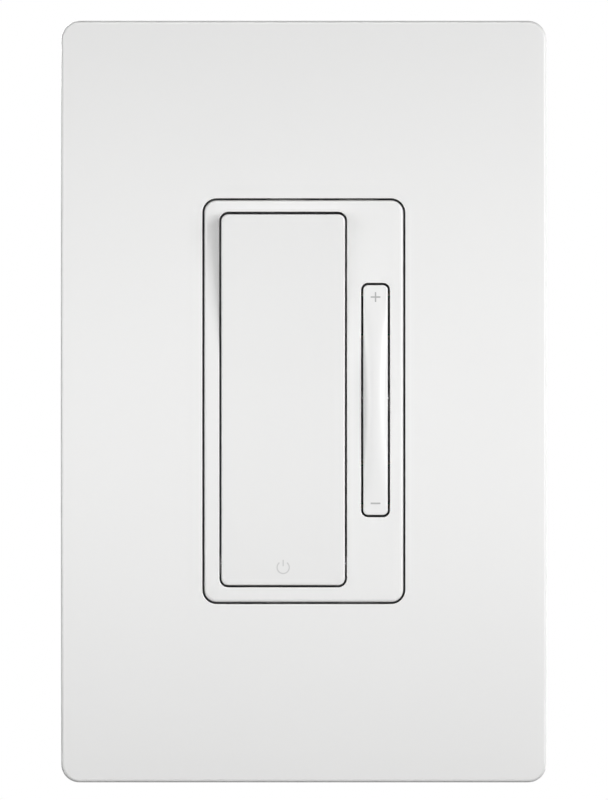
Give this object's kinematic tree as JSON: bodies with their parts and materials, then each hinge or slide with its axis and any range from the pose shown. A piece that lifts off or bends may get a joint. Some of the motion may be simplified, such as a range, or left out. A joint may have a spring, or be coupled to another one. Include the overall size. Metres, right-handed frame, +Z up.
{
  "type": "dimmer switch",
  "caption": "One-gang wall dimmer: a press paddle and a narrow upright dim rocker in a decorator frame, behind a crowned screwless wall plate, with strap and back housing.",
  "frame": {"origin": "on the wall's surface, behind the middle of the wall plate", "axes": "+Z up along the plate's long side, +X to the right seen from the room, +Y into the wall, so the front faces -Y"},
  "size_m": [0.08, 0.0427, 0.1256],
  "materials": {
    "white_gloss": "satin gloss moulded",
    "white_inner": "matte moulded",
    "strap_metal": "brushed",
    "zinc": "zinc plated",
    "pin_steel": "ground",
    "spring_steel": "drawn wire",
    "green_metal": "green plated",
    "fibre": "pressed fibre",
    "black_plastic": "fine matte",
    "board_green": "solder mask",
    "insulator": "sheet",
    "chip_black": "moulded epoxy",
    "tact_black": "moulded",
    "plunger_grey": "moulded",
    "pad_grey": "silicone pad",
    "ferrite": "coated core",
    "copper_wire": "enamelled copper",
    "cap_yellow": "epoxy box",
    "cap_sleeve": "shrink sleeve",
    "varistor_blue": "dipped epoxy",
    "fuse_white": "ceramic tube",
    "brass": "stamped"
  },
  "bodies": {
    "switch": {"wall_plate_cover": "white_gloss", "wall_plate_subframe": "white_inner", "subframe_screw_top": "zinc", "subframe_screw_bottom": "zinc", "mounting_strap": "strap_metal", "box_screw_top": "zinc", "box_screw_bottom": "zinc", "screw_retainer_top": "fibre", "screw_retainer_bottom": "fibre", "ground_screw": "green_metal", "device_frame": "white_gloss", "paddle_pivot_pin": "pin_steel", "paddle_return_spring": "spring_steel", "bar_pivot_pin": "pin_steel", "back_housing": "black_plastic", "housing_screw_1": "zinc", "housing_screw_2": "zinc", "housing_screw_3": "zinc", "housing_screw_4": "zinc", "insulator_sheet": "insulator", "control_board": "board_green", "control_chip": "chip_black", "paddle_tact_body": "tact_black", "brighter_tact_body": "tact_black", "dimmer_tact_body": "tact_black", "board_header": "chip_black", "power_board": "board_green", "triac": "chip_black", "triac_pad": "pad_grey", "triac_screw": "zinc", "choke_core": "ferrite", "choke_winding": "copper_wire", "film_capacitor": "cap_yellow", "electrolytic_capacitor": "cap_sleeve", "varistor": "varistor_blue", "fuse": "fuse_white", "line_contact_plate": "brass", "line_clamp_plate": "brass", "line_terminal_screw": "brass", "traveler_contact_plate": "brass", "traveler_clamp_plate": "brass", "traveler_terminal_screw": "brass", "load_contact_plate": "brass", "load_clamp_plate": "brass", "load_terminal_screw": "brass", "neutral_contact_plate": "brass", "neutral_clamp_plate": "brass", "neutral_terminal_screw": "zinc"},
    "paddle": {"paddle": "white_gloss"},
    "dim_bar": {"dim_bar": "white_gloss"},
    "paddle_plunger": {"paddle_tact_plunger": "plunger_grey"},
    "brighter_plunger": {"brighter_tact_plunger": "plunger_grey"},
    "dimmer_plunger": {"dimmer_tact_plunger": "plunger_grey"}
  },
  "joints": [
    {"name": "paddle_press", "type": "hinge", "parent": "switch", "child": "paddle", "pos_m": [0, -0.0039, -0.02705], "axis": [1, 0, 0], "range_deg": [-1.5, 0], "stiffness_Nm_per_rad": 2, "springref_deg": 1.72},
    {"name": "dim_rock", "type": "hinge", "parent": "switch", "child": "dim_bar", "pos_m": [0.0118, -0.00445, 0.00025], "axis": [1, 0, 0], "range_deg": [-2, 2], "stiffness_Nm_per_rad": 0.4},
    {"name": "paddle_plunger_slide", "type": "slide", "parent": "switch", "child": "paddle_plunger", "axis": [0, 1, 0], "range_m": [0, 0.0005]},
    {"name": "brighter_plunger_slide", "type": "slide", "parent": "switch", "child": "brighter_plunger", "axis": [0, 1, 0], "range_m": [-0.0006, 0.0006]},
    {"name": "dimmer_plunger_slide", "type": "slide", "parent": "switch", "child": "dimmer_plunger", "axis": [0, 1, 0], "range_m": [-0.0006, 0.0006]}
  ],
  "couplings": [
    {"joint": "paddle_plunger_slide", "follows": "paddle_press", "m_per_rad": -0.015},
    {"joint": "brighter_plunger_slide", "follows": "dim_rock", "m_per_rad": -0.014},
    {"joint": "dimmer_plunger_slide", "follows": "dim_rock", "m_per_rad": 0.014}
  ]
}
